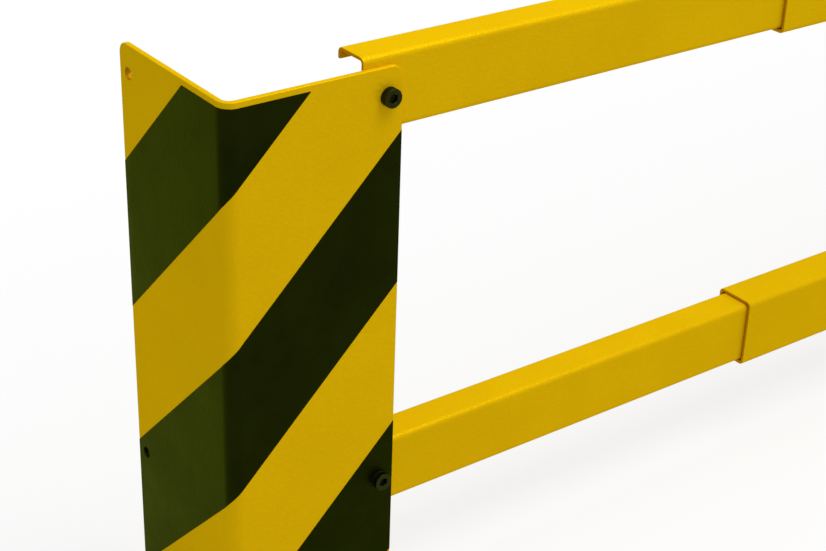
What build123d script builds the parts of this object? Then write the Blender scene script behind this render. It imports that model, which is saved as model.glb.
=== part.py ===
from build123d import *
import os

# An adjustable rack end guard. Two folded corner guards stand on the floor, and two
# telescopic channel rails join them. Millimetres, +Z up, the front is towards -Y.
# The origin is on the floor, in the middle of the space that the whole guard takes.

# Whole guard, from the outer face of one corner guard to that of the other
overall_width = 1300.0

# Corner guards, each one sheet folded to a right angle
guard_height = 500.0
flange_width = 160.0
guard_wall = 5.0
guard_bend = 7.0
guard_corner = 10.0
guard_edge_break = 0.5

# Base plates, welded inside the foot of each corner guard
base_size = 140.0
base_thickness = 8.0
base_fold_margin = 2.0
base_free_corner = 30.0
anchor_hole = 14.0
anchor_inset = 30.0

# Rail fixings, the same in both flanges so that a guard suits either hand
fixing_hole = 11.0
fixing_inset = 13.5
upper_fixing_drop = 24.0
lower_fixing_z = 121.5

# Rails, lipped channels with the web to the front and the open side to the back
rail_overlap = 111.0
rail_height = 63.5
rail_depth = 34.5
rail_wall = 3.0
rail_bend = 2.0
inner_rail_lip = 10.0
outer_rail_lip = 12.0
rail_end_margin = 21.0
rail_rise = 1.1
slide_play = 0.9

# The outer rails are fixed through slots, and each one sits a little way along its slot
slot_travel = 4.0
upper_slot_shift = -3.5
lower_slot_shift = 3.5

# M10 screws with low socket heads
thread_diameter = 10.0
screw_length = 25.0
head_diameter = 16.0
head_height = 7.0
socket_width = 7.0
socket_depth = 4.0

# Wide washers
washer_diameter = 30.0
washer_hole = 10.5
washer_thickness = 2.5

# Self-locking nuts, a hexagon with a round collar
nut_width = 17.0
nut_height = 10.0
nut_play = 0.05
collar_diameter = 14.6
collar_height = 2.6

# Black bands of thin film on the outer faces, sloping at 45 degrees. A band is not quite as
# high as a flange is wide, and the pattern starts from the lower fixings.
film = 0.2
film_margin = 5.0
film_head_play = 0.05
band_shortfall = 25.8
middle_band_rise = 29.9
side_band_rise = 2.2
band_names = ["upper", "middle", "lower"]

# Sizes that follow from those above
outer_step = rail_wall + slide_play
footprint_depth = flange_width + outer_step + head_height
left_front = footprint_depth / 2 - flange_width
right_front = left_front - outer_step
outer_face = overall_width / 2
free_edge = outer_face - flange_width
bend_outside = guard_bend + guard_wall
anchor_pitch = base_size - 2 * anchor_inset
fixing_x = free_edge + fixing_inset
rail_end_x = fixing_x + rail_end_margin
rail_length = rail_end_x + rail_overlap / 2
upper_fixing_z = guard_height - upper_fixing_drop
band_height = flange_width - band_shortfall

# For each side: its hand along X, and the front plane of its corner guard. The outer
# rails wrap the inner ones, so the right guard stands one step further forward.
sides = {"left": (-1, left_front), "right": (1, right_front)}

# For each level: the height of its fixing, and where its outer rail sits on its slot
levels = {
    "upper": (upper_fixing_z, upper_slot_shift),
    "lower": (lower_fixing_z, lower_slot_shift),
}

os.makedirs("parts", exist_ok=True)


def fold_corners(hand, front):
    """The corners of a guard's outer outline, with the inside of the fold on the left."""
    side_face = hand * outer_face
    corners = [(side_face, front + flange_width), (side_face, front), (hand * free_edge, front)]
    return corners[::-hand]


def front_fixings(hand):
    """Where the rails are screwed on, in the plane of the front flange."""
    return [(hand * fixing_x, fixing_z) for fixing_z, slot_shift in levels.values()]


def side_fixings(front):
    """The spare fixings, in the plane of the side flange."""
    return [(front + flange_width - fixing_inset, fixing_z) for fixing_z, slot_shift in levels.values()]


# Corner guards
for side, (hand, front) in sides.items():
    with BuildPart() as corner_guard:
        with BuildLine():
            FilletPolyline(*fold_corners(hand, front), radius=bend_outside)
        make_brake_formed(guard_wall, guard_height, side=Side.LEFT)
        # The free top corner of each flange is rounded
        top_edges = corner_guard.edges().group_by(Axis.Z)[-1]
        side_corner = top_edges.filter_by(Axis.X).sort_by(Axis.Y)[-1]
        front_corner = top_edges.filter_by(Axis.Y).sort_by(Axis.X, reverse=hand > 0)[-1]
        fillet([side_corner, front_corner], guard_corner)
        # The sheared edges are broken along the top and round the free corners
        chamfer(corner_guard.faces().sort_by(Axis.Z)[-1].edges(), guard_edge_break)
        with BuildSketch(Plane.XZ.offset(-front)):
            with Locations(*front_fixings(hand)):
                Circle(fixing_hole / 2)
        extrude(amount=-guard_wall, mode=Mode.SUBTRACT)
        with BuildSketch(Plane.YZ.offset(hand * outer_face)):
            with Locations(*side_fixings(front)):
                Circle(fixing_hole / 2)
        extrude(amount=-hand * guard_wall, mode=Mode.SUBTRACT)

    corner_guard.part.label = f"{side}_corner_guard"
    export_step(corner_guard.part, f"parts/{corner_guard.part.label}.step")


# Base plates, snug against both flanges
for side, (hand, front) in sides.items():
    inner_side = hand * (outer_face - guard_wall)
    inner_front = front + guard_wall
    anchor_offset = anchor_inset + anchor_pitch / 2

    with BuildPart() as base_plate:
        with BuildSketch():
            with Locations((inner_side - hand * base_size / 2, inner_front + base_size / 2)):
                Rectangle(base_size, base_size)
        extrude(amount=base_thickness)
        fold_point = Vertex(inner_side, inner_front, 0)
        corners = base_plate.edges().filter_by(Axis.Z).sort_by_distance(fold_point)
        # A small cut clears the inside of the fold, and a large one takes off the far corner
        chamfer(corners[0], guard_bend + base_fold_margin)
        chamfer(corners[-1], base_free_corner)
        with BuildSketch():
            with Locations((inner_side - hand * anchor_offset, inner_front + anchor_offset)):
                with GridLocations(anchor_pitch, anchor_pitch, 2, 2):
                    Circle(anchor_hole / 2)
        extrude(amount=base_thickness, mode=Mode.SUBTRACT)

    base_plate.part.label = f"{side}_base_plate"
    export_step(base_plate.part, f"parts/{base_plate.part.label}.step")


def channel_corners(height, depth, lip, web_face, middle_z):
    """The corners of a lipped channel's outer outline, from one lip round to the other."""
    top = middle_z + height / 2
    bottom = middle_z - height / 2
    back = web_face + depth
    return [
        (back, top - lip),
        (back, top),
        (web_face, top),
        (web_face, bottom),
        (back, bottom),
        (back, bottom + lip),
    ]


# Inner rails, screwed to the left guard
for level, (fixing_z, slot_shift) in levels.items():
    web_face = left_front + guard_wall
    middle_z = fixing_z + rail_rise
    section = channel_corners(rail_height, rail_depth, inner_rail_lip, web_face, middle_z)

    with BuildPart() as inner_rail:
        with BuildSketch(Plane.YZ.offset(-rail_end_x)):
            with BuildLine():
                FilletPolyline(*section, radius=rail_bend + rail_wall)
                offset(amount=rail_wall, side=Side.LEFT)
            make_face()
        extrude(amount=rail_length)
        with BuildSketch(Plane.XZ.offset(-web_face)):
            with Locations((-fixing_x, fixing_z)):
                Circle(fixing_hole / 2)
        extrude(amount=-rail_wall, mode=Mode.SUBTRACT)

    inner_rail.part.label = f"{level}_inner_rail"
    export_step(inner_rail.part, f"parts/{inner_rail.part.label}.step")


# Outer rails, wrapped round the inner ones and screwed to the right guard
for level, (fixing_z, slot_shift) in levels.items():
    web_face = right_front + guard_wall
    middle_z = fixing_z + rail_rise
    outer_height = rail_height + 2 * outer_step
    outer_depth = rail_depth + 2 * outer_step
    section = channel_corners(outer_height, outer_depth, outer_rail_lip, web_face, middle_z)

    with BuildPart() as outer_rail:
        with BuildSketch(Plane.YZ.offset(rail_end_x - rail_length + slot_shift)):
            with BuildLine():
                FilletPolyline(*section, radius=rail_bend + rail_wall)
                offset(amount=rail_wall, side=Side.LEFT)
            make_face()
        extrude(amount=rail_length)
        with BuildSketch(Plane.XZ.offset(-web_face)):
            with Locations((fixing_x + slot_shift, fixing_z)):
                SlotOverall(fixing_hole + 2 * slot_travel, fixing_hole)
        extrude(amount=-rail_wall, mode=Mode.SUBTRACT)

    outer_rail.part.label = f"{level}_outer_rail"
    export_step(outer_rail.part, f"parts/{outer_rail.part.label}.step")


# Fasteners, a screw, a washer and a self-locking nut at each fixing. Every stack runs
# back from the front face of its guard, through the guard's wall and the rail's.
for side, (hand, front) in sides.items():
    for level, (fixing_z, slot_shift) in levels.items():
        guard_face = Plane((hand * fixing_x, front, fixing_z), x_dir=(1, 0, 0), z_dir=(0, 1, 0))
        washer_seat = guard_face.offset(guard_wall + rail_wall)
        nut_seat = washer_seat.offset(washer_thickness)

        with BuildPart() as screw:
            with BuildSketch(guard_face):
                Circle(head_diameter / 2)
            extrude(amount=-head_height)
            with BuildSketch(guard_face):
                Circle(thread_diameter / 2)
            extrude(amount=screw_length)
            with BuildSketch(guard_face.offset(-head_height)):
                RegularPolygon(socket_width / 2, 6, major_radius=False)
            extrude(amount=socket_depth, mode=Mode.SUBTRACT)

        screw.part.label = f"{side}_{level}_screw"
        export_step(screw.part, f"parts/{screw.part.label}.step")

        with BuildPart() as washer:
            with BuildSketch(washer_seat):
                Circle(washer_diameter / 2)
                Circle(washer_hole / 2, mode=Mode.SUBTRACT)
            extrude(amount=washer_thickness)

        washer.part.label = f"{side}_{level}_washer"
        export_step(washer.part, f"parts/{washer.part.label}.step")

        with BuildPart() as nut:
            with BuildSketch(nut_seat):
                RegularPolygon(nut_width / 2, 6, major_radius=False)
            extrude(amount=nut_height - collar_height)
            with BuildSketch(nut_seat):
                Circle(collar_diameter / 2)
            extrude(amount=nut_height)
            with BuildSketch(nut_seat):
                Circle(thread_diameter / 2 + nut_play)
            extrude(amount=nut_height, mode=Mode.SUBTRACT)

        nut.part.label = f"{side}_{level}_nut"
        export_step(nut.part, f"parts/{nut.part.label}.step")


# Black bands. Each one climbs at 45 degrees along the side flange towards the fold, turns
# the fold on a helix, and climbs on at 45 degrees along the front flange to its free edge.
for side, (hand, front) in sides.items():
    bend_x = hand * (outer_face - bend_outside)
    bend_y = front + bend_outside
    # The strip that cuts each band out of the film is longer and thicker than the film
    overrun = film_margin
    front_end = hand * (free_edge - overrun)
    side_end = front + flange_width + overrun
    flange_climb = flange_width + overrun
    fold_climb = 2 * bend_outside - side_band_rise

    for number, band_name in enumerate(band_names):
        # Heights of the band's edges where the front flange's line would meet the corner
        band_bottom = lower_fixing_z + middle_band_rise + 2 * (1 - number) * band_height
        band_top = band_bottom + band_height
        band_middle = (band_top + band_bottom) / 2

        fold_path = Helix(
            4 * fold_climb,
            fold_climb,
            bend_outside,
            center=(bend_x, bend_y, 0),
            lefthand=hand > 0,
            mode=Mode.PRIVATE,
        )
        fold_path = fold_path.rotate(Axis((bend_x, bend_y, 0), (0, 0, 1)), 90 - 90 * hand)
        fold_start = Plane((bend_x, bend_y, 0), x_dir=(hand, 0, 0), z_dir=(0, -hand, 0))

        with BuildPart() as strip:
            with BuildSketch(fold_start):
                with Locations((bend_outside, band_middle + side_band_rise - bend_outside)):
                    Rectangle(2 * overrun, band_height)
            sweep(path=fold_path, is_frenet=True)
            with BuildSketch(Plane.XZ.offset(-front)):
                with BuildLine():
                    Polyline(
                        (bend_x, band_bottom + bend_outside),
                        (front_end, band_bottom + flange_climb),
                        (front_end, band_top + flange_climb),
                        (bend_x, band_top + bend_outside),
                        close=True,
                    )
                make_face()
            extrude(amount=overrun, both=True)
            with BuildSketch(Plane.YZ.offset(hand * outer_face)):
                with BuildLine():
                    Polyline(
                        (bend_y, band_bottom + side_band_rise - bend_outside),
                        (side_end, band_bottom + side_band_rise - flange_climb),
                        (side_end, band_top + side_band_rise - flange_climb),
                        (bend_y, band_top + side_band_rise - bend_outside),
                        close=True,
                    )
                make_face()
            extrude(amount=overrun, both=True)

        with BuildPart() as hazard_band:
            # The film hangs from its top edge, on the outside of the fold
            with BuildLine(Plane.XY.offset(guard_height - film_margin)):
                FilletPolyline(*fold_corners(hand, front), radius=bend_outside)
            make_brake_formed(film, guard_height - 2 * film_margin, side=Side.RIGHT)
            add(strip.part, mode=Mode.INTERSECT)
            # Openings for the screw heads and for the spare fixings
            with BuildSketch(Plane.XZ.offset(-front)):
                with Locations(*front_fixings(hand)):
                    Circle(head_diameter / 2 + film_head_play)
            extrude(amount=film, mode=Mode.SUBTRACT)
            with BuildSketch(Plane.YZ.offset(hand * outer_face)):
                with Locations(*side_fixings(front)):
                    Circle(fixing_hole / 2)
            extrude(amount=hand * film, mode=Mode.SUBTRACT)

        hazard_band.part.label = f"{side}_{band_name}_hazard_band"
        export_step(hazard_band.part, f"parts/{hazard_band.part.label}.step")
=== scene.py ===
"""Adjustable rack end guard: two folded corner guards, joined by two telescopic channel rails.

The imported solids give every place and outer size. This file adds the rounded sheet edges,
the film bands, the threads and knurls, the weld beads, the coatings and the stage.
Metres, +Z up, the front towards -Y.
"""

import math

import bmesh
import bpy
import numpy as np
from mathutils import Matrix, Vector


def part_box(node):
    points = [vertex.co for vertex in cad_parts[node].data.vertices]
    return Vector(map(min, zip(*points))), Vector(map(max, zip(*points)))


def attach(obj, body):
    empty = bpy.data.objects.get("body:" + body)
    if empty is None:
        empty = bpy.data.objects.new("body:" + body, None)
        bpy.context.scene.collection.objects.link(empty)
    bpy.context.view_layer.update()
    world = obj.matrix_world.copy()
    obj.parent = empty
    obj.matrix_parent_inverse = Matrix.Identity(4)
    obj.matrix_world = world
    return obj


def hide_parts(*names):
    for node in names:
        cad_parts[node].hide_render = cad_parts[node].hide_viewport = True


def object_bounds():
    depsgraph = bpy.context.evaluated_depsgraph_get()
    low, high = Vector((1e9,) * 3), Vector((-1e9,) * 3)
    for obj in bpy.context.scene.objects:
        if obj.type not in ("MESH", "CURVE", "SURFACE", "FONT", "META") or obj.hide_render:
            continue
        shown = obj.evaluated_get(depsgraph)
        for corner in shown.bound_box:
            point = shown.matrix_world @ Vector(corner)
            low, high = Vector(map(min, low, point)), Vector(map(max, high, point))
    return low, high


bl_info = {
    "name": "Rack end guard",
    "version": (1, 0, 0),
    "blender": (4, 5, 0),
    "location": "View3D > Sidebar > Rack guard",
    "description": "Builds an adjustable rack end guard in powder coated sheet steel",
    "category": "Add Mesh",
}

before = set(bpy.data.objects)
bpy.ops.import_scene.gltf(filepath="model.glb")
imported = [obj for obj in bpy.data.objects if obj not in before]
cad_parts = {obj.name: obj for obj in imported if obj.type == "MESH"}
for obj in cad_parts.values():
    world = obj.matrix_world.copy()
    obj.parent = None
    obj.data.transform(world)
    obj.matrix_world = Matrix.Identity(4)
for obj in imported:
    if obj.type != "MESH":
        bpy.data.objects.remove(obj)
solids_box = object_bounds()

hands = {"left": -1, "right": 1}
bodies = {"left": "left_half", "right": "right_half"}
rail_bodies = {"inner": "left_half", "outer": "right_half"}
levels = ("upper", "lower")
band_names = ("upper", "middle", "lower")

quarter_turn = math.pi / 2

# The parts of a rounded edge and of a bend, and the metres between lines, on a fold and elsewhere
edge_steps = 4
bend_steps = 8
turn_step = 0.001
wide_step = 0.012

# Edges sharper than this stay crisp, and points nearer than this are one
crisp_angle = math.radians(38)
weld_distance = 2e-6

# How far a screw head draws in at its foot, where the film is cut round it
head_foot = 0.0003


# Sizes and colours that a user would change


def length(name, description, default):
    """A length in metres."""
    return bpy.props.FloatProperty(
        name=name, description=description, default=default, min=0.0, precision=5, unit="LENGTH"
    )


def count(name, description, default):
    """A whole number of repeats."""
    return bpy.props.IntProperty(name=name, description=description, default=default, min=1)


def share(name, description, default):
    """A plain factor."""
    return bpy.props.FloatProperty(name=name, description=description, default=default, min=0.0)


def colour(name, description, default):
    """A colour, in linear red, green and blue."""
    return bpy.props.FloatVectorProperty(
        name=name, description=description, default=default, size=3, min=0.0, max=1.0, subtype="COLOR"
    )


class GuardSizes(bpy.types.PropertyGroup):
    """Sizes of the folded corner guards."""

    wall: length("Sheet", "Thickness of the sheet", 0.005)
    bend: length("Fold", "Outside radius of the fold", 0.012)
    corner: length("Free corner", "Radius of the free top corners", 0.010)
    edge: length("Edge", "Radius that the coat gives to the cut edges", 0.0009)
    hole: length("Hole", "Diameter of the fixing holes, inside the coat", 0.0104)
    hole_edge: length("Hole edge", "Radius that the coat gives to the rims of the holes", 0.0003)
    hole_inset: length("Hole inset", "From a free edge to the middle of a hole", 0.0135)
    bead: length("Weld bead", "Leg of the weld beads at the foot", 0.0045)
    ripple: length("Weld ripple", "From one ripple of a weld bead to the next", 0.0021)


class BandSizes(bpy.types.PropertyGroup):
    """Sizes of the sloping hazard bands."""

    film: length("Film", "Thickness of the film", 0.0002)
    height: length("Height", "Height of a band, measured upright", 0.1342)
    first_top: length("First top", "How far the first band's line rises over the guard", 0.054)
    side_rise: length("Side rise", "How much higher the bands lie on the side flange", 0.0022)
    margin: length("Margin", "From the film to the top and to the foot of the guard", 0.005)
    blunt: length("Blunt tip", "How much is trimmed off a sharp tip of the film", 0.0004)


class RailSizes(bpy.types.PropertyGroup):
    """Sizes of the lipped channel rails."""

    wall: length("Wall", "Thickness of the channel", 0.003)
    bend: length("Bend", "Outside radius of the channel's bends", 0.005)
    inner_lip: length("Inner lip", "Width of the inner rail's lips", 0.010)
    outer_lip: length("Outer lip", "Width of the outer rail's lips", 0.012)
    edge: length("Edge", "Radius that the coat gives to the cut edges", 0.0006)


class FastenerSizes(bpy.types.PropertyGroup):
    """Sizes of the screws, washers and self-locking nuts."""

    thread: length("Thread", "Outside diameter of the thread", 0.010)
    pitch: length("Pitch", "From one turn of the thread to the next", 0.0015)
    threaded: length("Threaded", "Length of the threaded end", 0.014)
    socket: length("Socket", "Width across the flats of the socket", 0.007)
    socket_depth: length("Socket depth", "Depth of the socket", 0.004)
    knurls: count("Knurls", "Ridges round a screw head", 56)
    washer_hole: length("Washer hole", "Diameter of the hole in a washer", 0.0105)
    nut_bore: length("Nut bore", "Diameter of the bore of a nut", 0.0101)
    collar: length("Collar", "Diameter of the round collar of a nut", 0.0146)
    collar_height: length("Collar height", "How far the collar stands over the hexagon", 0.0026)
    edge: length("Edge", "Radius of the soft edges", 0.0004)


class CoatingColours(bpy.types.PropertyGroup):
    """Colours of the coatings, and the texture of the powder coat."""

    yellow: colour("Powder coat", "Colour of the powder coat", (0.81, 0.495, 0.002))
    # Partly painted shade: this darker colour also stands for the shade on the rail ends and in the holes
    thin_and_shade: colour("Thin coat", "Colour of the powder coat on the cut edges", (0.56, 0.26, 0.001))
    black: colour("Film", "Colour of the black film", (0.0084, 0.0115, 0.0009))
    oxide: colour("Black oxide", "Colour of the screws", (0.017, 0.021, 0.004))
    zinc: colour("Zinc", "Colour of the washers and nuts", (0.62, 0.64, 0.66))
    nylon: colour("Nylon", "Colour of the locking rings", (0.60, 0.66, 0.72))
    peel_size: length("Peel size", "Width of a cell of the orange peel", 0.0028)
    peel_depth: length("Peel depth", "Depth of the orange peel", 0.00035)


class StageSettings(bpy.types.PropertyGroup):
    """The camera's lens and the level of each light."""

    lens: share("Lens", "Focal length in millimetres on a 36 mm sensor", 75.4)
    ambient: share("Ambient", "Light from all round, where 1 shows colours as they are written", 0.43)
    key: share("Key", "Level of the large lamp, high at the front right", 0.53)
    top: share("Top", "Level of the lamp overhead", 0.29)
    floor_glow: share("Floor glow", "How much of the floor's white is its own", 0.74)


# Meshes


def linked(name, data):
    """A new object in the scene that holds the data."""
    made = bpy.data.objects.new(name, data)
    bpy.context.scene.collection.objects.link(made)
    return made


class Skin:
    """Grids of points, gathered into one mesh. Each point says how thin the coat is there, and so how much
    painted shade the thin coat's darker colour lays on it.
    """

    def __init__(self):
        self.points = []
        self.faces = []
        self.thin_and_shade = []
        self.count = 0

    def grid(self, points, keep=None, thin_and_shade=0.0):
        """Joins each point of a grid to its neighbours. keep marks the cells that get a face."""
        rows, columns = points.shape[:2]
        index = self.count + np.arange(rows * columns).reshape(rows, columns)
        cells = np.stack([index[:-1, :-1], index[:-1, 1:], index[1:, 1:], index[1:, :-1]], axis=-1)
        if keep is None:
            keep = np.ones(cells.shape[:2], bool)
        self.points.append(points.reshape(-1, 3))
        self.faces.append(cells[keep])
        self.thin_and_shade.append(np.broadcast_to(thin_and_shade, (rows, columns)).ravel())
        self.count += rows * columns

    def piece(self, name, body, coat, replaced=()):
        """Makes the mesh, closes its seams, turns its faces outwards, gives it its finish and sets it under
        its body.
        """
        points = np.concatenate(self.points)
        faces = np.concatenate(self.faces)
        mesh = bpy.data.meshes.new(name)
        mesh.vertices.add(len(points))
        mesh.vertices.foreach_set("co", points.ravel())
        mesh.loops.add(faces.size)
        mesh.loops.foreach_set("vertex_index", faces.ravel())
        mesh.polygons.add(len(faces))
        mesh.polygons.foreach_set("loop_start", np.arange(0, faces.size, 4))
        mesh.update(calc_edges=True)
        thin_coat_and_shade = mesh.attributes.new("thin_coat_and_shade", "FLOAT", "POINT")
        thin_coat_and_shade.data.foreach_set("value", np.concatenate(self.thin_and_shade))
        shell = bmesh.new()
        shell.from_mesh(mesh)
        bmesh.ops.remove_doubles(shell, verts=shell.verts, dist=weld_distance)
        bmesh.ops.recalc_face_normals(shell, faces=shell.faces)
        shell.to_mesh(mesh)
        shell.free()
        mesh.shade_smooth()
        mesh.set_sharp_from_angle(angle=crisp_angle)
        mesh.materials.append(finish(coat))
        made = linked(name, mesh)
        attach(made, body)
        if replaced:
            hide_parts(*replaced)


def ruled(stops, step_at):
    """Lines through the stops. Each stretch between two stops is divided evenly, by about step_at."""
    lines = []
    for start, end in zip(stops[:-1], stops[1:]):
        parts = max(1, math.ceil((end - start) / step_at((start + end) / 2)))
        lines.append(np.linspace(start, end, parts, endpoint=False))
    return np.append(np.concatenate(lines), stops[-1])


def stepped(stretches, elsewhere=wide_step):
    """A step for each place: that of the stretch in which it lies, or else the wide one."""

    def step_at(place):
        for start, end, step in stretches:
            if start < place < end:
                return step
        return elsewhere

    return step_at


def closed(points):
    """A ring of points along the second axis, with its first point again at its end."""
    return np.concatenate([points, points[:, :1]], axis=1)


def border(points):
    """The points round the edge of a grid, once round."""
    return np.concatenate([points[0, :-1], points[:-1, -1], points[-1, :0:-1], points[:0:-1, 0]])


def outward(loop):
    """How far each point of a loop moves for each unit that the outline grows.

    The sum of the normals of its two sides, over one more than their product: a mitre.
    """
    ahead = np.roll(loop, -1, axis=0) - loop
    ahead /= np.linalg.norm(ahead, axis=1, keepdims=True)
    normals = np.stack([ahead[:, 1], -ahead[:, 0]], axis=-1)
    before = np.roll(normals, 1, axis=0)
    return (normals + before) / (1 + np.sum(normals * before, axis=1, keepdims=True))


def quarter_swing(steps):
    """Angles from nothing to a quarter turn, in even steps."""
    return np.linspace(0, quarter_turn, steps + 1)


def rounded_edge(edge, outer, inner):
    """The section of a rounded sheet edge, as how far it stands out and how deep it lies.

    Two quarter circles: out by the sine, and in from each face by one minus the cosine.
    """
    angle = quarter_swing(edge_steps)
    out = edge * np.sin(angle)
    depth = edge * (1 - np.cos(angle))
    return np.concatenate([out, out[::-1]]), np.concatenate([outer + depth, inner - depth[::-1]])


class Hole:
    """A round hole in a sheet: its wall, and the block of grid cells that gives way to it.

    The wall is a row of rings from the one face to the other, each a radius and a depth.
    """

    def __init__(self, centre, wall, rows, columns):
        self.centre = np.array(centre)
        self.radii, self.depths = wall
        self.rows = rows
        self.columns = columns


def plain_wall(radius, edge, outer, inner):
    """The wall of a hole whose two rims are rounded."""
    out, depth = rounded_edge(edge, outer, inner)
    return radius + edge - out, depth


def lined_wall(radius, edge, film, sheet_depth):
    """The wall of film that is pressed into a hole, over its rounded rim.

    The film's outside turns in on a quarter circle of the rim's radius plus the film, runs down
    the bore, and comes back on the rim's own radius.
    """
    angle = quarter_swing(edge_steps)
    down = radius + edge - (edge + film) * np.sin(angle)
    back = radius + edge - edge * np.sin(angle[::-1])
    foot = sheet_depth - edge
    radii = np.concatenate([down, [radius - film, radius], back])
    depths = np.concatenate(
        [edge - (edge + film) * np.cos(angle), [foot, foot], edge - edge * np.cos(angle[::-1])]
    )
    return radii, depths


def cells_between(lines, start, end):
    """The slice of cells between two lines of a grid."""
    return slice(int(np.argmin(np.abs(lines - start))), int(np.argmin(np.abs(lines - end))))


def sheet(skin, place, s, z, outer, inner, edge, support, holes):
    """A plate between two depths, with rounded edges and holes.

    s and z are grids of places on the flat sheet, and stop one edge radius short of the outline.
    The rim carries the rounded section round the outline. At a hole, rings blend from the border
    of its block to a circle, and run through the sheet along the hole's wall.
    """
    keep = np.ones((s.shape[0] - 1, s.shape[1] - 1), bool)
    for hole in holes:
        keep[hole.rows, hole.columns] = False
    for depth in (outer, inner):
        skin.grid(place(s, z, np.full_like(s, depth)), keep)

    out, depth = rounded_edge(edge, outer, inner)
    flat = np.stack([s, z], axis=-1)
    loop = border(flat)
    rim = closed(loop[None] + out[:, None, None] * outward(loop)[None])
    skin.grid(place(rim[..., 0], rim[..., 1], depth[:, None]))

    for hole in holes:
        rows = slice(hole.rows.start, hole.rows.stop + 1)
        columns = slice(hole.columns.start, hole.columns.stop + 1)
        block = border(flat[rows, columns])
        arm = block - hole.centre
        arm /= np.linalg.norm(arm, axis=1, keepdims=True)
        radii = np.concatenate([hole.radii[:1] + support, hole.radii, hole.radii[-1:] + support])
        rings = hole.centre + radii[:, None, None] * arm[None]
        rings = closed(np.concatenate([block[None], rings, block[None]]))
        depths = np.concatenate([[outer, outer], hole.depths, [inner, inner]])
        # The hole's wall gets the thin coat's darker colour, which is also painted shade inside the hole
        thin_and_shade = np.zeros(len(depths))
        thin_and_shade[3:-3] = 1.0
        skin.grid(place(rings[..., 0], rings[..., 1], depths[:, None]), thin_and_shade=thin_and_shade[:, None])


class Fold:
    """The bent sheet of one corner guard, measured along its outer face.

    s runs from the free edge of the side flange, round the fold, to the free edge of the front
    flange. Depth runs inwards from the outer face.
    """

    def __init__(self, side, sizes):
        low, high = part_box(f"{side}_corner_guard")
        self.hand = hands[side]
        self.side_face = high.x if self.hand > 0 else low.x
        self.front = low.y
        self.top = high.z
        self.width = high.y - low.y
        self.bend = sizes.bend
        self.flat = self.width - self.bend
        self.turn = self.bend * quarter_turn
        self.length = 2 * self.flat + self.turn
        self.edge = sizes.edge

    def place(self, s, z, depth):
        """Straight along each flange, and round the fold on an arc.

        The angle is the length past the flat over the bend radius, and the arc's own radius is
        the bend radius less the depth.
        """
        angle = np.clip((s - self.flat) / self.bend, 0, quarter_turn)
        radius = self.bend - depth
        inward = self.bend - radius * np.cos(angle) + np.maximum(s - self.flat - self.turn, 0)
        back = self.bend - radius * np.sin(angle) + np.maximum(self.flat - s, 0)
        return np.stack(
            np.broadcast_arrays(self.side_face - self.hand * inward, self.front + back, z), axis=-1
        )

    def place_film(self, s, z, depth):
        """The same, for a film that also follows the rounded free edges.

        Within an edge radius of a free edge, the length still to go over that radius is an
        angle, and the film turns by it on a circle of the edge radius less the depth.
        """
        from_edge = np.minimum(s, self.length - s)
        angle = np.clip(1 - from_edge / self.edge, 0, quarter_turn)
        radius = self.edge - depth
        inset = np.where(angle > 0, self.edge - radius * np.sin(angle), from_edge)
        s = np.where(s < self.length / 2, inset, self.length - inset)
        return self.place(s, z, self.edge - radius * np.cos(angle))


# Corner guards


# Half of the block of cells that gives way to a hole, in radii of the hole, the parts of that
# half, and how far in from a free corner the rows draw in, in radii of the corner
hole_block = 1.35
hole_parts = 6
corner_reach = 3


def fixing_heights(side):
    """The heights of a guard's fixings, the upper one first."""
    boxes = [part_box(f"{side}_{level}_screw") for level in levels]
    return [(low.z + high.z) / 2 for low, high in boxes]


def guard_sheet(side, sizes):
    """One folded sheet.

    Near the top, each end of a row draws in along the circle of the free corner: the corner
    radius less the root of its square less the square of the height above the circle's middle.
    """
    fold = Fold(side, sizes)
    edge = sizes.edge
    support = edge / 3
    half = hole_block * sizes.hole / 2
    step = half / hole_parts
    reach = corner_reach * sizes.corner
    upper, lower = fixing_heights(side)

    hole_lines = (sizes.hole_inset, fold.length - sizes.hole_inset)
    insets = [edge, edge + support, sizes.hole_inset - half, sizes.hole_inset + half, reach, fold.flat]
    stops = insets + [fold.length - inset for inset in reversed(insets)]
    near_holes = [(line - half, line + half, step) for line in hole_lines]
    across = ruled(stops, stepped([*near_holes, (fold.flat, fold.flat + fold.turn, turn_step)]))
    row_stops = [edge, edge + support, lower - half, lower + half, upper - half, upper + half]
    rows = ruled(row_stops, stepped([(level - half, level + half, step) for level in (lower, upper)]))
    middle = fold.top - sizes.corner
    up = np.append(rows, middle + (sizes.corner - edge) * np.sin(quarter_swing(bend_steps)))

    s, z = np.meshgrid(across, up)
    climb = np.clip((z - middle) / (sizes.corner - edge), 0, 1)
    start = sizes.corner - (sizes.corner - edge) * np.sqrt(1 - climb**2)
    inset = np.minimum(s, fold.length - s)
    drawn = start + (inset - edge) * (reach - start) / (reach - edge)
    inset = np.where(inset < reach, drawn, inset)
    s = np.where(s < fold.length / 2, inset, fold.length - inset)

    wall = plain_wall(sizes.hole / 2, sizes.hole_edge, 0.0, sizes.wall)
    holes = []
    for height in (upper, lower):
        for middle_s in hole_lines:
            block_rows = cells_between(up, height - half, height + half)
            block_columns = cells_between(across, middle_s - half, middle_s + half)
            holes.append(Hole((middle_s, height), wall, block_rows, block_columns))

    skin = Skin()
    sheet(skin, fold.place, s, z, 0.0, sizes.wall, edge, support, holes)
    return skin


class MakeCornerGuards(bpy.types.Operator):
    """Fold the two corner guards"""

    bl_idname = "rack_guard.corner_guards"
    bl_label = "Corner guards"

    def execute(self, context):
        sizes = context.scene.guard_sizes
        for side in hands:
            skin = guard_sheet(side, sizes)
            skin.piece(f"{side}_folded_sheet", bodies[side], "powder_coat", [f"{side}_corner_guard"])
        return {"FINISHED"}


# Base plates and the weld beads that hold them


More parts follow.
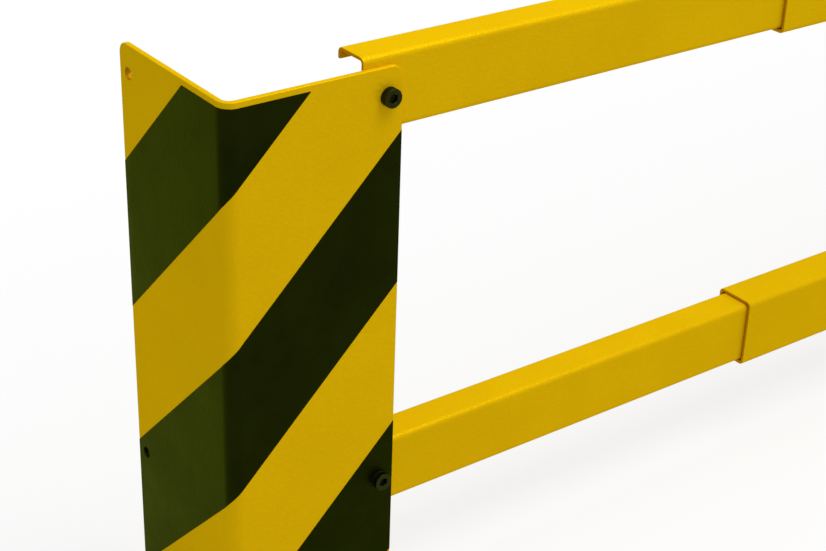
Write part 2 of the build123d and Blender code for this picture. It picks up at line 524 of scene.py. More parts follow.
# The rows of a bead to each ripple and the parts across it, how square its ends close, how far
# its crests bow, in ripples, and its fill, flatness and unevenness, as shares of its leg
bead_rows = 6
bead_steps = 8
end_power = 24
crest_bow = 0.6
bead_fill = 0.9
bead_flat = 0.9
crest_depth = 0.08
quick_wander = 0.05
slow_wander = 0.04

# How fast the two wanders swing along a bead, in radians to the metre
quick_rate = 310
slow_rate = 97


def weld_bead(skin, start, end, away, leg, ripple):
    """A fillet bead from start to end, between an upright face and a level one.

    Its section is a quarter circle, which leans away from the upright face. The radius is the
    leg, times a root that closes the two ends, times ripples whose crests bow along the bead.
    """
    run = np.array(end) - np.array(start)
    total = np.linalg.norm(run)
    run /= total
    along = np.linspace(0, total, int(total / ripple * bead_rows))[:, None]
    angle = quarter_swing(bead_steps)[None]
    ends = np.sqrt(np.clip(1 - (2 * along / total - 1) ** end_power, 0, 1))
    crest = np.abs(np.sin(math.pi * (along / ripple - crest_bow * np.sin(2 * angle))))
    wander = quick_wander * np.sin(along * quick_rate) + slow_wander * np.sin(along * slow_rate + 1)
    radius = leg * ends * (bead_fill + crest_depth * crest + wander)
    lean = radius * np.cos(angle)
    rise = radius * np.sin(angle) * bead_flat
    arc = np.array(start) + along[..., None] * run + lean[..., None] * np.array(away)
    arc[..., 2] += rise
    root = np.array(start) + along[..., None] * run
    skin.grid(np.concatenate([root, arc, root], axis=1))


class MakeBasePlates(bpy.types.Operator):
    """Coat the base plates and weld them to the guards"""

    bl_idname = "rack_guard.base_plates"
    bl_label = "Base plates and weld beads"

    def execute(self, context):
        sizes = context.scene.guard_sizes
        for side, hand in hands.items():
            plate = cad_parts[f"{side}_base_plate"]
            plate.material_slots[0].material = finish("powder_coat")
            low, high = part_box(f"{side}_base_plate")
            free_x, inner_x = (low.x, high.x) if hand > 0 else (high.x, low.x)
            clear = sizes.bend + sizes.bead
            runs = [
                ((inner_x - hand * clear, low.y), (free_x + hand * sizes.bead, low.y), (0, 1, 0)),
                ((inner_x, low.y + clear), (inner_x, high.y - sizes.bead), (-hand, 0, 0)),
            ]
            beads = Skin()
            for start, end, away in runs:
                weld_bead(beads, (*start, high.z), (*end, high.z), away, sizes.bead, sizes.ripple)
            beads.piece(f"{side}_weld_beads", bodies[side], "powder_coat")
        return {"FINISHED"}


# Hazard bands


# Half of the width and height of the cells that give way to a hole in the film, the step from one
# line across to the next there, and the steps between rows round a hole and elsewhere, as shares
# of the band's height
block_wide = 0.011
block_tall = 0.016
block_step = block_wide / 8
fine_share = 0.018
wide_share = 0.2


def band_film(side, number, guard, sizes):
    """One band of film.

    Its edges climb one to one along both flanges and evenly round the fold. A row lies at a
    fixed share of the height between the two edges, each held within the margins. The film is
    pressed into a spare hole, and is cut away round the head of a screw.
    """
    fold = Fold(side, guard)
    stops = [0, fold.flat, fold.flat + fold.turn, fold.length]
    climb = [sizes.side_rise - fold.width, sizes.side_rise - fold.bend, fold.bend, fold.width]
    top = fold.top + sizes.first_top - 2 * number * sizes.height
    bottom = top - sizes.height
    foot = sizes.margin
    head = fold.top - sizes.margin

    def height_at(line, s):
        return np.clip(line + np.interp(s, stops, climb), foot, head)

    def reaches(line, height):
        return float(np.interp(height - line, climb, stops))

    # The film turns half way over the rounded free edges
    lead = guard.edge * (1 - math.pi / 4)
    start = max(reaches(top, foot) + sizes.blunt, lead)
    end = min(reaches(bottom, head) - sizes.blunt, fold.length - lead)
    support = sizes.film / 2
    film_edge = sizes.film / 4
    screw_low, screw_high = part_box(f"{side}_upper_screw")
    cut_radius = (screw_high.x - screw_low.x) / 2 - head_foot
    walls = {
        guard.hole_inset: lined_wall(guard.hole / 2, guard.hole_edge, sizes.film, guard.wall),
        fold.length - guard.hole_inset: plain_wall(cut_radius, film_edge, -sizes.film, 0.0),
    }
    found = []
    for middle, wall in walls.items():
        for height in fixing_heights(side):
            if height_at(bottom, middle) + block_wide < height < height_at(top, middle) - block_wide:
                found.append((middle, height, wall))

    # Lines across the band lie at its ends and kinks, at the fold, and round each hole
    turn = (fold.flat, fold.flat + fold.turn, turn_step)
    edge_step = guard.edge / edge_steps
    turned_in = [(0, guard.edge, edge_step), (fold.length - guard.edge, fold.length, edge_step)]
    around = [(middle - block_wide, middle + block_wide, block_step) for middle, height, wall in found]
    kinks = [reaches(bottom, foot), reaches(top, head), start + support, end - support]
    kinks += [place for first, last, step in [turn, *turned_in, *around] for place in (first, last)]
    inside = sorted(place for place in kinks if start + support / 2 < place < end - support / 2)
    stops_across = [start]
    for place in inside + [end]:
        if place - stops_across[-1] > support / 4:
            stops_across.append(place)
    across = ruled(stops_across, stepped([turn, *turned_in, *around]))

    # Rows lie at shares of the band's height
    row_support = support / sizes.height
    row_stops = [0, row_support]
    blocks = []
    for middle, height, wall in found:
        low_edge = height_at(bottom, middle)
        band = height_at(top, middle) - low_edge
        reach = [(height + block_tall * way - low_edge) / band for way in (-1, 1)]
        blocks.append((*reach, fine_share))
        row_stops += reach
    row_stops = sorted(row_stops) + [1 - row_support, 1]
    up = ruled(row_stops, stepped(blocks, elsewhere=wide_share))

    s, part_way = np.meshgrid(across, up)
    low_edge = height_at(bottom, s)
    z = low_edge + part_way * (height_at(top, s) - low_edge)
    holes = []
    for (middle, height, wall), (low, high, step) in zip(found, blocks):
        block_columns = cells_between(across, middle - block_wide, middle + block_wide)
        holes.append(Hole((middle, height), wall, cells_between(up, low, high), block_columns))
    skin = Skin()
    sheet(skin, fold.place_film, s, z, -sizes.film, 0.0, film_edge, support, holes)
    return skin


class MakeHazardBands(bpy.types.Operator):
    """Lay the black bands over the corner guards"""

    bl_idname = "rack_guard.hazard_bands"
    bl_label = "Hazard bands"

    def execute(self, context):
        guard = context.scene.guard_sizes
        sizes = context.scene.band_sizes
        for side in hands:
            for number, band_name in enumerate(band_names):
                node = f"{side}_{band_name}_hazard_band"
                skin = band_film(side, number, guard, sizes)
                skin.piece(f"{side}_{band_name}_film", bodies[side], "satin_film", [node])
        return {"FINISHED"}


# Rails


# The sections along a rail, between its two rounded ends
rail_lines = 24


def bent_path(corners, radius, support):
    """A path with each corner replaced by an arc, and the normal at each of its points.

    The arcs' direction turns from the one side to the next as cosine and sine of one angle. A
    point just before and after each arc keeps the flats flat.
    """
    corners = np.array(corners)
    sides = corners[1:] - corners[:-1]
    sides /= np.linalg.norm(sides, axis=1, keepdims=True)
    into = sides[:-1, None]
    out = sides[1:, None]
    angle = quarter_swing(bend_steps)[None, :, None]
    centre = corners[1:-1, None] - radius * into + radius * out
    arcs = centre + radius * (into * np.sin(angle) - out * np.cos(angle))
    heading = into * np.cos(angle) + out * np.sin(angle)
    points = np.concatenate([arcs[:, :1] - support * into, arcs, arcs[:, -1:] + support * out], axis=1)
    heading = np.concatenate([into, heading, out], axis=1)
    heading = heading.reshape(-1, 2)
    return points.reshape(-1, 2), np.stack([heading[:, 1], -heading[:, 0]], axis=-1)


def channel_rail(node, lip, sizes):
    """A lipped channel along X.

    The section is the middle line of the wall, moved out and in by half of the wall, and closed
    round each lip by two quarter circles. At the ends the section shrinks as one minus the
    cosine while the length runs out as the sine, and a strip closes what is left.
    """
    low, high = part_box(node)
    edge = sizes.edge
    support = edge / 2
    half = sizes.wall / 2
    back = high.y - half
    corners = [
        (back, high.z - lip),
        (back, high.z - half),
        (low.y + half, high.z - half),
        (low.y + half, low.z + half),
        (back, low.z + half),
        (back, low.z + lip),
    ]
    path, normal = bent_path(corners, sizes.bend - half, support)
    swing = quarter_swing(edge_steps)
    angle = swing[:, None]

    def tip(corner, heading, flank, from_flank):
        """The quarter circle between a flank of a lip and its tip, from the one or the other."""
        middle = np.array(corner) - heading * edge + flank * (half - edge)
        first, second = (flank, heading) if from_flank else (heading, flank)
        turned = first * np.cos(angle) + second * np.sin(angle)
        return middle + edge * turned, turned

    up = np.array([0.0, 1.0])
    outline = [
        tip(corners[0], -up, normal[0], False),
        (path + half * normal, normal),
        tip(corners[-1], up, normal[-1], True),
        tip(corners[-1], up, -normal[-1], False),
        ((path - half * normal)[::-1], -normal[::-1]),
        tip(corners[0], -up, -normal[0], True),
    ]
    loop = np.concatenate([points for points, normals in outline])
    normals = np.concatenate([normals for points, normals in outline])

    run_out = edge * (1 - np.sin(swing))
    shrink = edge * (1 - np.cos(swing))
    middle_x = np.linspace(low.x + edge + support, high.x - edge - support, rail_lines)
    x = np.concatenate([low.x + run_out[::-1], middle_x, high.x - run_out])
    inset = np.concatenate([shrink[::-1], np.zeros(len(middle_x)), shrink])
    section = loop[None] - inset[:, None, None] * normals[None]
    points = np.concatenate([np.broadcast_to(x[:, None, None], section.shape[:2] + (1,)), section], axis=2)
    skin = Skin()
    # The rounded ends and the end strips get the thin coat's darker colour: partly a thinner coat at the
    # cut, and partly painted shade from the gap between the rails
    skin.grid(closed(points), thin_and_shade=inset[:, None] / edge)
    half_loop = len(loop) // 2
    for end in (0, -1):
        skin.grid(np.stack([points[end, :half_loop], points[end, : half_loop - 1 : -1]]), thin_and_shade=1.0)
    return skin


class MakeRails(bpy.types.Operator):
    """Roll the two inner and the two outer rails"""

    bl_idname = "rack_guard.rails"
    bl_label = "Telescopic rails"

    def execute(self, context):
        sizes = context.scene.rail_sizes
        lips = {"inner": sizes.inner_lip, "outer": sizes.outer_lip}
        for kind, lip in lips.items():
            for level in levels:
                node = f"{level}_{kind}_rail"
                skin = channel_rail(node, lip, sizes)
                skin.piece(f"{node}_channel", rail_bodies[kind], "rail_coat", [node])
        return {"FINISHED"}


# Fasteners


# Of a screw's socket, the cone and width that the drill leaves, the edge of its floor, and the
# depth and width of the countersink. The shares are of the hexagon, the last of its corners
drill_point = 0.0008
drill_share = 0.8
floor_line = 0.0001
floor_share = 0.97
sink_depth = 0.0007
sink_share = 1.08

# Of a screw's head, the lines beside its top's edges, the knurl's depth, the plain strips beside
# it and the end of its grooves, the neck below, and how far the shank starts inside the head
top_line = 0.0002
knurl_depth = 0.00022
knurl_lead = 0.0004
knurl_end = 0.0006
neck = 0.0003
shank_root = 0.001

# Of a thread, the rows to a pitch, the depth in pitches, and the bevel at its end
thread_rows = 8
thread_depth = 0.61
thread_bevel = 0.0012

# The slope and the flat of the waves that make the knurl and the thread
knurl_wave = (1.6, 0.3)
thread_wave = (1.3, 0.12)

# Of a nut, the seat as a share of its width, the trimmed corners, the bevel of the bore, the
# collar's wall, its rolled lip and the pocket's floor, and how the nylon ring lies in the pocket
seat_share = 0.95
nut_bevel = 0.0012
bore_bevel = 0.0006
collar_wall = 0.0009
roll_height = 0.0009
roll_reach = 0.0012
lip_width = 0.0004
lip_depth = 0.0006
lip_thick = 0.0008
pocket_floor = 0.0002
ring_lift = 0.0003
ring_drop = 0.0009
ring_inset = 0.00095
ring_grip = 0.0003


def turned(skin, centre, along, radius, angle):
    """A surface turned about an axis that runs back from centre.

    Each row is a ring at its distance along the axis. Its radius may change with the angle.
    """
    rings = np.broadcast_to(radius, (along.shape[0], angle.shape[-1]))
    along = np.broadcast_to(along, rings.shape)
    x = centre[0] + rings * np.cos(angle)
    y = centre[1] + along
    z = centre[2] + rings * np.sin(angle)
    skin.grid(np.stack([x, y, z], axis=-1))


def profile(skin, centre, rows, angle):
    """A plain profile turned about the same axis. Each row is a radius and a distance."""
    rows = np.array(rows)
    turned(skin, centre, rows[:, 1:], rows[:, :1], angle)


def front_middle(low, high):
    """Where the axis of a fastener meets its front."""
    return ((low.x + high.x) / 2, low.y, (low.z + high.z) / 2)


def full_turn(parts):
    """The angles of a ring, once round, with the first one again."""
    return np.linspace(0, 2 * math.pi, parts + 1)[None]


def cut_wave(turns, slope, flat):
    """A triangle wave of the turns, from 0 to 1, cut flat at its root and its crest."""
    wave = np.abs(turns % 1 - 0.5) * 2
    return np.clip(wave * slope - flat, 0, 1)


def hexagon(width, angle):
    """The radius of a hexagon: half its width over the cosine of the angle from a flat's middle."""
    return width / 2 / np.cos((angle + math.pi / 6) % (math.pi / 3) - math.pi / 6)


def quarter(start, end, steps, bulge_first):
    """A quarter ellipse from start to end. It leaves along the first or the second direction."""
    angle = np.linspace(0, quarter_turn, steps + 1)[:, None]
    start = np.array(start)
    run = np.array(end) - start
    ways = (np.sin(angle), 1 - np.cos(angle))
    if not bulge_first:
        ways = ways[::-1]
    return start + run * np.concatenate(ways, axis=1)


def screw_body(node, sizes):
    """A low head screw.

    Rows of the head run from the middle of the socket's floor, up the hexagon, over the top and
    down the knurled side. The knurl takes a triangle wave off the radius. The thread's ridge is
    a triangle wave of the distance in pitches less the turns, cut flat at its crest and root.
    """
    low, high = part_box(node)
    centre = front_middle(low, high)
    radius = (high.x - low.x) / 2
    shank = sizes.thread / 2
    end = high.y - low.y
    washer_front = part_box(node.replace("_screw", "_washer"))[0].y
    clamped = bpy.context.scene.guard_sizes.wall + bpy.context.scene.rail_sizes.wall
    head = washer_front - low.y - clamped
    socket = sizes.socket / 2
    countersink = socket / math.cos(math.pi / 6) * sink_share
    depth = sizes.socket_depth
    edge = 2 * sizes.edge
    skin = Skin()
    fine = full_turn(6 * sizes.knurls)

    # The socket: a drilled cone, a floor, six flats and a countersink
    flats = hexagon(sizes.socket, fine)[0]
    along = np.array([depth + drill_point, depth, depth, depth - floor_line, sink_depth, 0.0])[:, None]
    drilled = np.full_like(flats, socket * drill_share)
    sink = np.full_like(flats, countersink)
    rings = np.stack([0 * flats, drilled, floor_share * flats, flats, flats, sink])
    turned(skin, centre, along, rings, fine)

    # The top of the head, between the countersink and the rounded rim
    rim = radius - edge
    tops = (countersink, countersink + top_line, rim - top_line, rim)
    profile(skin, centre, [(top, 0.0) for top in tops], fine)

    # The rim and the knurled side
    groove = knurl_depth * cut_wave(fine * sizes.knurls / (2 * math.pi), *knurl_wave)
    arc = quarter((rim, 0.0), (radius, edge), 5, True)
    side = [(radius, edge + knurl_lead), (radius, head - knurl_end), (radius, head - knurl_lead)]
    foot = [(radius - head_foot, head), (shank, head), (shank, head + neck)]
    rows = np.concatenate([arc, side, foot])
    cut = np.concatenate([np.zeros(len(arc)), [1, 1, 0], np.zeros(len(foot))])[:, None]
    turned(skin, centre, rows[:, 1:], rows[:, :1] - cut * groove, fine)
    profile(skin, centre, [(shank, head + neck), (0.0, head + neck)], fine)

    # A plain shank, then the thread, with a bevelled end
    angle = full_turn(parts=48)
    root = head - shank_root
    profile(skin, centre, [(0.0, root), (shank, root), (shank, end - sizes.threaded)], angle)
    steps = int(sizes.threaded / sizes.pitch * thread_rows)
    along = np.linspace(end - sizes.threaded, end, steps)[:, None]
    wave = cut_wave(along / sizes.pitch - angle / (2 * math.pi), *thread_wave)
    ridge = shank - thread_depth * sizes.pitch * (1 - wave)
    bevel = shank - thread_bevel + (end - along)
    run_in = np.clip((along - end + sizes.threaded) / sizes.pitch, 0, 1)
    thread = np.minimum(shank + (ridge - shank) * run_in, bevel)
    turned(skin, centre, along, thread, angle)
    turned(skin, centre, np.full((2, 1), end), np.concatenate([thread[-1:], 0 * thread[-1:]]), angle)
    return skin


def flat_ring(node, hole, edge):
    """A washer: a rectangle with four rounded corners, turned about the axis."""
    low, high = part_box(node)
    outside = (high.x - low.x) / 2
    thick = high.y - low.y
    arcs = [
        quarter((outside - edge, 0.0), (outside, edge), 4, True),
        quarter((outside, thick - edge), (outside - edge, thick), 4, False),
        quarter((hole + edge, thick), (hole, thick - edge), 4, True),
        quarter((hole, edge), (hole + edge, 0.0), 4, False),
        [(outside - edge, 0.0)],
    ]
    skin = Skin()
    profile(skin, front_middle(low, high), np.concatenate(arcs), full_turn(parts=96))
    return skin


def locking_nut(node, sizes):
    """A self-locking nut.

    Each ring is the smaller of the hexagon and a cone that trims its corners at 30 degrees. A
    round collar follows, whose lip is rolled in over the nylon ring.
    """
    low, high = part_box(node)
    centre = front_middle(low, high)
    height = high.y - low.y
    width = high.z - low.z
    bore = sizes.nut_bore / 2
    collar = sizes.collar / 2
    shoulder = height - sizes.collar_height
    angle = full_turn(parts=144)
    seat = seat_share * width / 2
    along = np.concatenate([np.linspace(start, start + nut_bevel, 9) for start in (0, shoulder - nut_bevel)])
    cone = seat + math.sqrt(3) * np.minimum(along, shoulder - along)
    sides = np.minimum(hexagon(width, angle), cone[:, None])
    skin = Skin()
    turned(skin, centre, along[:, None], sides, angle)
    profile(skin, centre, [(bore, bore_bevel), (bore + bore_bevel, 0.0), (seat, 0.0)], angle)
    lip = collar - roll_reach
    pocket = collar - collar_wall
    floor = shoulder + pocket_floor
    rolled = quarter((collar, height - roll_height), (lip, height), 5, False)
    inside = quarter((lip, height), (pocket - lip_width, height - lip_depth), 3, True)
    walls = [(pocket, height - lip_thick), (pocket, floor), (bore, floor), (bore, bore_bevel)]
    rows = np.concatenate([[(seat, shoulder), (collar, shoulder)], rolled, inside, walls])
    profile(skin, centre, rows, angle)
    return skin


def nylon_ring(node, sizes):
    """The locking ring in a nut's collar: a rectangle with rounded corners, turned about the axis."""
    low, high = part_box(node)
    height = high.y - low.y
    start = height - sizes.collar_height + ring_lift
    end = height - ring_drop
    outside = sizes.collar / 2 - ring_inset
    inside = sizes.thread / 2 - ring_grip
    edge = sizes.edge
    arcs = [
        [(inside, start), (outside, start)],
        quarter((outside, end - edge), (outside - edge, end), 3, False),
        quarter((inside + edge, end), (inside, end - edge), 3, True),
        [(inside, start)],
    ]
    skin = Skin()
    profile(skin, front_middle(low, high), np.concatenate(arcs), full_turn(parts=64))
    return skin


class MakeScrews(bpy.types.Operator):
    """Turn, knurl and thread the four screws"""

    bl_idname = "rack_guard.screws"
    bl_label = "Screws"

    def execute(self, context):
        sizes = context.scene.fastener_sizes
        for side in hands:
            for level in levels:
                node = f"{side}_{level}_screw"
                screw_body(node, sizes).piece(f"{node}_body", bodies[side], "black_oxide", [node])
        return {"FINISHED"}


class MakeNuts(bpy.types.Operator):
    """Put a washer and a self-locking nut on each screw"""

    bl_idname = "rack_guard.nuts"
    bl_label = "Washers and nuts"

    def execute(self, context):
        sizes = context.scene.fastener_sizes
        for side in hands:
            for level in levels:
                washer = f"{side}_{level}_washer"
                nut = f"{side}_{level}_nut"
                ring = flat_ring(washer, sizes.washer_hole / 2, sizes.edge)
                ring.piece(f"{washer}_ring", bodies[side], "zinc_plate", [washer])
                locking_nut(nut, sizes).piece(f"{nut}_body", bodies[side], "zinc_plate", [nut])
                nylon_ring(nut, sizes).piece(f"{nut}_locking_ring", bodies[side], "nylon")
        return {"FINISHED"}


# Coatings


class Value:
    """A socket of a material. Arithmetic on it adds Math nodes."""

    def __init__(self, coating, socket):
        self.coating = coating
        self.socket = socket

    def worked(self, operation, first, second):
        return self.coating.node("ShaderNodeMath", {"operation": operation}, {0: first, 1: second})

    def __add__(self, other):
        return self.worked("ADD", self, other)

    def __radd__(self, other):
        return self.worked("ADD", other, self)

    def __sub__(self, other):
        return self.worked("SUBTRACT", self, other)

    def __rsub__(self, other):
        return self.worked("SUBTRACT", other, self)

    def __mul__(self, other):
        return self.worked("MULTIPLY", self, other)

    def __rmul__(self, other):
        return self.worked("MULTIPLY", other, self)


class Coating:
    """A material in the making."""

    def __init__(self, tree):
        self.tree = tree
        self.tree.nodes.clear()

    def node(self, kind, settings=None, sockets=None, output=0):
        """Adds a node of a kind. Its settings come first, then its sockets' values or links."""
        made = self.tree.nodes.new(kind)
        for name, value in (settings or {}).items():
            setattr(made, name, value)
        for name, value in (sockets or {}).items():
            if isinstance(value, Value):
                self.tree.links.new(value.socket, made.inputs[name])
            else:
                made.inputs[name].default_value = value
        return Value(self, made.outputs[output]) if made.outputs else made

    def place(self):
        """Places on the object, in metres."""
        return self.node("ShaderNodeTexCoord", output="Object")

    def noise(self, place, size, detail=2.0, rough=0.5):
        """Soft noise whose cells are about as wide as size."""
        sockets = {"Vector": place, "Scale": 1 / size, "Detail": detail, "Roughness": rough}
        return self.node("ShaderNodeTexNoise", sockets=sockets)

    def ramp(self, value, low, high):
        """0 below low, 1 above high, and even between."""
        sockets = {"Value": value, "From Min": low, "From Max": high}
        return self.node("ShaderNodeMapRange", {"clamp": True}, sockets)

    def blend(self, amount, first, second):
        """A colour part of the way from the first to the second."""
        sockets = {"Factor": amount, 6: first, 7: second}
        return self.node("ShaderNodeMix", {"data_type": "RGBA"}, sockets, output=2)

    def stretched(self, place, scale):
        """The same places with each direction scaled."""
        return self.node("ShaderNodeMapping", sockets={"Vector": place, "Scale": scale})

    def bump(self, height, distance):
        """A normal that follows a height, in metres times the distance."""
        return self.node("ShaderNodeBump", sockets={"Height": height, "Distance": distance, "Strength": 1.0})

    def surface(self, sockets):
        """The finished surface."""
        shader = self.node("ShaderNodeBsdfPrincipled", sockets=sockets)
        self.node("ShaderNodeOutputMaterial", sockets={"Surface": shader})


# Colours that show in places only: as painted shade in the valleys of the peel, as dust and lint,
# where hands rub the screws, and in the clouds of the zinc
valley_shade_yellow = (0.70, 0.40, 0.0015)
coat_dust = (0.45, 0.30, 0.05)
film_lint = (0.07, 0.075, 0.03)
rubbed_oxide = (0.028, 0.025, 0.008)
straw_zinc = (0.66, 0.62, 0.52)

# How the metallic finishes tint what they reflect at a shallow angle
coat_tint = (1.0, 0.95, 0.3)
film_tint = (0.76, 0.85, 0.48)
oxide_tint = (0.9, 1.0, 0.55)

# How much finer than the cells of the peel its grain is, and how deep beside them
grain_fineness = 3.5
grain_depth = 0.35

# How much of the peel's depth shows through the film
peel_through = 0.4


def rgba(shade, factor=1.0):
    """A colour with its alpha, made lighter or darker by a factor."""
    return (*(min(1.0, part * factor) for part in shade), 1.0)


def peel(coating, place, colours):
    """The orange peel of a powder coat: soft cells, and a fainter grain between them."""
    cells = coating.noise(place, colours.peel_size, detail=1.0)
    grain = coating.noise(place, colours.peel_size / grain_fineness, detail=1.5)
    return cells + grain * grain_depth


def powder_coat(coating, colours, slides=False):
    """A satin powder coat, with orange peel and a slow drift in its tone."""
    place = coating.place()
    texture = peel(coating, place, colours)
    drift = coating.noise(place, size=0.11, detail=3.0, rough=0.6)
    dust = coating.noise(place, size=0.0022, detail=4.0, rough=0.7)
    light = coating.ramp(drift, 0.35, 0.65)
    tone = coating.blend(light, rgba(colours.yellow, 0.965), rgba(colours.yellow, 1.03))
    # Painted shade: the valleys of the peel are painted a deeper yellow than its crests
    shaded_valleys = coating.ramp(texture, 0.85, 0.45)
    tone = coating.blend(shaded_valleys * 0.16, tone, rgba(valley_shade_yellow))
    specks = coating.ramp(dust, 0.70, 0.78)
    tone = coating.blend(specks * 0.10, tone, rgba(coat_dust))
    rough = 0.32 + coating.ramp(drift, 0.3, 0.7) * 0.07 + specks * 0.15
    if slides:
        # Faint lines along the rails, where one slides over the other
        lines = coating.noise(coating.stretched(place, (0.04, 1.0, 1.0)), size=0.0012, detail=3.0)
        rubbed = coating.ramp(lines, 0.62, 0.72)
        rough = rough - rubbed * 0.06
        tone = coating.blend(rubbed * 0.08, tone, rgba(colours.yellow, 1.12))
    # The coat draws back from a cut edge, and its primer darkens it there. The same darker colour is also
    # painted shade on the rail ends, in the gap between the rails, and on the walls of the holes
    thin_and_shade = coating.node("ShaderNodeAttribute", {"attribute_name": "thin_coat_and_shade"}, output="Fac")
    tone = coating.blend(thin_and_shade * 0.85, tone, rgba(colours.thin_and_shade))
    coating.surface(
        {
            "Base Color": tone,
            "Metallic": 0.18,
            "Roughness": rough,
            "Specular IOR Level": 0.0,
            "Specular Tint": rgba(coat_tint),
            "Normal": coating.bump(texture, colours.peel_depth),
        }
    )


def satin_film(coating, colours):
    """A satin film with an olive sheen. The peel of the coat below shows through it.

    The pigment is a fine graphite, so the film reflects as a very dark metal does, and its
    sheen at a shallow angle is olive.
    """
    place = coating.place()
    texture = peel(coating, place, colours)
    smears = coating.noise(place, size=0.045, detail=3.0, rough=0.6)
    lint = coating.noise(place, size=0.0016, detail=3.0, rough=0.7)
    light = coating.ramp(smears, 0.35, 0.65)
    tone = coating.blend(light, rgba(colours.black, 0.85), rgba(colours.black, 1.25))
    specks = coating.ramp(lint, 0.70, 0.76)
    tone = coating.blend(specks * 0.25, tone, rgba(film_lint))
    coating.surface(
        {
            "Base Color": tone,
            "Metallic": 1.0,
            "Roughness": 0.42 + coating.ramp(smears, 0.3, 0.7) * 0.10,
            "Specular Tint": rgba(film_tint),
            "Normal": coating.bump(texture, colours.peel_depth * peel_through),
        }
    )


def black_oxide(coating, colours):
    """Oiled black oxide on steel, a little browner where hands and tools rub it."""
    place = coating.place()
    cloud = coating.noise(place, size=0.004, detail=3.0, rough=0.6)
    grit = coating.noise(place, size=0.0004)
    tone = coating.blend(coating.ramp(cloud, 0.4, 0.7), rgba(colours.oxide), rgba(rubbed_oxide))
    coating.surface(
        {
            "Base Color": tone,
            "Metallic": 1.0,
            "Roughness": 0.34 + cloud * 0.2,
            "Specular Tint": rgba(oxide_tint),
            "Normal": coating.bump(grit, distance=0.000012),
        }
    )


def zinc_plate(coating, colours):
    """Bright zinc, clouded blue and straw, over the fine lines of the rolled steel."""
    place = coating.place()
    cloud = coating.noise(place, size=0.009, detail=3.0, rough=0.55)
    lines = coating.noise(coating.stretched(place, (0.08, 1.0, 1.0)), size=0.00045)
    tone = coating.blend(coating.ramp(cloud, 0.35, 0.7), rgba(colours.zinc), rgba(straw_zinc))
    coating.surface(
        {
            "Base Color": tone,
            "Metallic": 1.0,
            "Roughness": 0.26 + cloud * 0.16 + lines * 0.06,
            "Normal": coating.bump(lines, distance=0.00001),
        }
    )


def nylon(coating, colours):
    """Natural nylon, faintly clouded."""
    place = coating.place()
    cloud = coating.noise(place, size=0.002, detail=3.0)
    grain = coating.noise(place, size=0.0003)
    tone = coating.blend(coating.ramp(cloud, 0.3, 0.7), rgba(colours.nylon, 0.9), rgba(colours.nylon, 1.05))
    coating.surface(
        {
            "Base Color": tone,
            "Roughness": 0.42 + cloud * 0.1,
            "Subsurface Weight": 0.15,
            "Subsurface Scale": 0.001,
            "Normal": coating.bump(grain, distance=0.00001),
        }
    )


def studio_floor(coating, glow):
    """A pale floor. What the camera and the reflections see is mostly its own white, all of it
    away from the object, so that it joins the backdrop. The rest is lit and holds the shadow.

    Away is measured from the strip under the guard, so lengths along it count for less.
    """
    place = coating.place()
    rays = seen_rays(coating)
    cloud = coating.noise(place, size=0.6)
    pale = coating.blend(cloud, rgba([0.96] * 3), rgba([0.99] * 3))
    tone = coating.blend(rays, rgba([0.72] * 3), pale)
    lit = coating.node("ShaderNodeBsdfDiffuse", sockets={"Color": tone})
    white = coating.node("ShaderNodeEmission", sockets={"Color": (1, 1, 1, 1), "Strength": 1.0})
    strip = coating.stretched(place, (0.3, 1.0, 1.0))
    away = coating.node("ShaderNodeVectorMath", {"operation": "LENGTH"}, {0: strip}, output="Value")
    far = coating.ramp(away, 0.1, 0.9)
    own_white = rays * (glow + far * (1 - glow))
    mixed = coating.node("ShaderNodeMixShader", sockets={0: own_white, 1: lit, 2: white})
    coating.node("ShaderNodeOutputMaterial", sockets={"Surface": mixed})


def seen_rays(coating):
    """1 for the rays of the camera, of reflections and through clear parts."""
    camera = coating.node("ShaderNodeLightPath", output="Is Camera Ray")
    glossy = coating.node("ShaderNodeLightPath", output="Is Glossy Ray")
    clear = coating.node("ShaderNodeLightPath", output="Is Transmission Ray")
    either = coating.node("ShaderNodeMath", {"operation": "MAXIMUM"}, {0: camera, 1: glossy})
    return coating.node("ShaderNodeMath", {"operation": "MAXIMUM"}, {0: either, 1: clear})


finish_makers = {
    "powder_coat": powder_coat,
    "rail_coat": lambda coating, colours: powder_coat(coating, colours, slides=True),
    "satin_film": satin_film,
    "black_oxide": black_oxide,
    "zinc_plate": zinc_plate,
    "nylon": nylon,
}
finishes_made = {}


def finish(name):
    """The material with that name, made the first time that a piece asks for it."""
    if name not in finishes_made:
        material = bpy.data.materials.new(name)
        material.use_nodes = True
        finish_makers[name](Coating(material.node_tree), bpy.context.scene.coating_colours)
        finishes_made[name] = material
    return finishes_made[name]


# Stage


# Half of the floor's width, the lines across it, and how far it lies below the feet
floor_reach = 9
floor_lines = 13
floor_drop = 0.0002


def lamp(name, target, direction, distance, width, level):
    """A square soft lamp that looks at a target from a direction.

    Its watts are the level times pi squared times the distance squared, so at level 1 a surface
    that faces it shows its colour as written.
    """
    data = bpy.data.lights.new(name, "AREA")
    data.shape = "SQUARE"
    data.size = width
    data.energy = level * math.pi**2 * distance**2
    made = linked(name, data)
    way = Vector(direction).normalized()
    made.location = target + way * distance
    made.rotation_euler = way.to_track_quat("Z", "Y").to_euler()


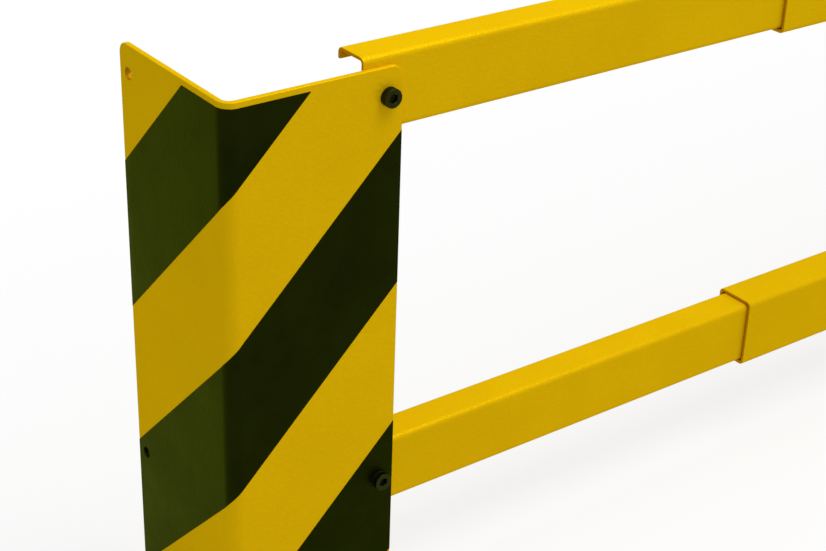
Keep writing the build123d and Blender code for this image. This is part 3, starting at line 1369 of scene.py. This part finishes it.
class MakeStage(bpy.types.Operator):
    """Set up the floor, the backdrop, the lights and the camera"""

    bl_idname = "rack_guard.stage"
    bl_label = "Stage"

    def execute(self, context):
        scene = context.scene
        settings = scene.stage_settings
        skin = Skin()
        spread = np.linspace(-floor_reach, floor_reach, floor_lines)
        x, y = np.meshgrid(spread, spread)
        skin.grid(np.stack([x, y, np.full_like(x, -floor_drop)], axis=-1))
        material = bpy.data.materials.new("studio_floor")
        material.use_nodes = True
        studio_floor(Coating(material.node_tree), settings.floor_glow)
        floor_mesh = bpy.data.meshes.new("studio_floor")
        floor_mesh.from_pydata(np.concatenate(skin.points).tolist(), [], np.concatenate(skin.faces).tolist())
        floor_mesh.materials.append(material)
        floor = linked("studio_floor", floor_mesh)

        scene.view_settings.view_transform = "Standard"
        world = bpy.data.worlds.new("studio")
        world.use_nodes = True
        scene.world = world
        backdrop = Coating(world.node_tree)
        rays = seen_rays(backdrop)
        level = rays + (1 - rays) * settings.ambient
        sky = backdrop.node("ShaderNodeBackground", sockets={"Color": (1, 1, 1, 1), "Strength": level})
        backdrop.node("ShaderNodeOutputWorld", sockets={"Surface": sky})

        low, high = solids_box
        middle = (low + high) / 2
        left_top = Vector((low.x, low.y, high.z))
        lamp("key", left_top, (0.34, -0.42, 1.0), distance=2.4, width=1.4, level=settings.key)
        lamp("overhead", middle, (0.0, 0.1, 1.0), distance=2.6, width=2.4, level=settings.top)

        view = bpy.data.cameras.new("camera")
        view.sensor_width = 36.0
        view.lens = settings.lens
        view.shift_x = 0.00197
        view.shift_y = 0.0038
        camera = linked("camera", view)
        camera.location = (-1.23266346, -1.07813805, 0.97492888)
        camera.rotation_euler = [math.radians(turn) for turn in (62.08174825, -1.71435444, -36.10575777)]
        scene.camera = camera
        return {"FINISHED"}


# Panel, registration and the order of work


size_groups = {
    "guard_sizes": GuardSizes,
    "band_sizes": BandSizes,
    "rail_sizes": RailSizes,
    "fastener_sizes": FastenerSizes,
    "coating_colours": CoatingColours,
    "stage_settings": StageSettings,
}

makers = (
    MakeCornerGuards,
    MakeBasePlates,
    MakeHazardBands,
    MakeRails,
    MakeScrews,
    MakeNuts,
    MakeStage,
)


class RackGuardPanel(bpy.types.Panel):
    """The pieces of the rack end guard, in the order in which they are made"""

    bl_idname = "VIEW3D_PT_rack_guard"
    bl_label = "Rack end guard"
    bl_space_type = "VIEW_3D"
    bl_region_type = "UI"
    bl_category = "Rack guard"

    def draw(self, context):
        for group in size_groups:
            box = self.layout.box()
            for name in getattr(context.scene, group).__annotations__:
                box.prop(getattr(context.scene, group), name)
        for maker in makers:
            self.layout.operator(maker.bl_idname)


def register():
    for name, group in size_groups.items():
        bpy.utils.register_class(group)
        setattr(bpy.types.Scene, name, bpy.props.PointerProperty(type=group))
    for maker in makers:
        bpy.utils.register_class(maker)
    bpy.utils.register_class(RackGuardPanel)


def unregister():
    bpy.utils.unregister_class(RackGuardPanel)
    for maker in reversed(makers):
        bpy.utils.unregister_class(maker)
    for name, group in size_groups.items():
        delattr(bpy.types.Scene, name)
        bpy.utils.unregister_class(group)


def main():
    register()
    bpy.ops.rack_guard.corner_guards()
    bpy.ops.rack_guard.base_plates()
    bpy.ops.rack_guard.hazard_bands()
    bpy.ops.rack_guard.rails()
    bpy.ops.rack_guard.screws()
    bpy.ops.rack_guard.nuts()
    bpy.ops.rack_guard.stage()


if __name__ == "__main__":
    main()
